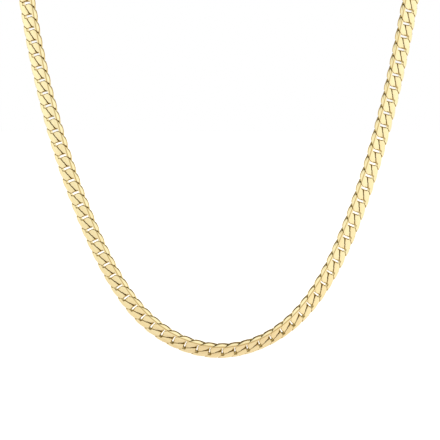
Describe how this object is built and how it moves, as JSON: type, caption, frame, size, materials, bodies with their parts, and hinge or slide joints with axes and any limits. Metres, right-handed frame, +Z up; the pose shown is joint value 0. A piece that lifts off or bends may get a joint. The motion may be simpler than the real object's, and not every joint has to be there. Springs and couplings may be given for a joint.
{
  "type": "link chain necklace",
  "caption": "Flat tight curb chain necklace in polished yellow gold plate, hanging as a deep U, closed at the nape by a plain clasp on jump rings.",
  "frame": {"origin": "middle of the nape stretch, where the necklace lies on the back of the neck", "axes": "+Z up, -Y to the front where the U hangs, +X to the right on the picture"},
  "size_m": [0.1321, 0.0532, 0.1462],
  "materials": {
    "polished_gold": "polished, cut flat on both faces",
    "gold_findings": "polished"
  },
  "bodies": {
    "root": {"chain_left": "polished_gold", "chain_right": "polished_gold", "clasp": "gold_findings", "clasp_ring": "gold_findings", "end_ring": "gold_findings"}
  },
  "joints": []
}
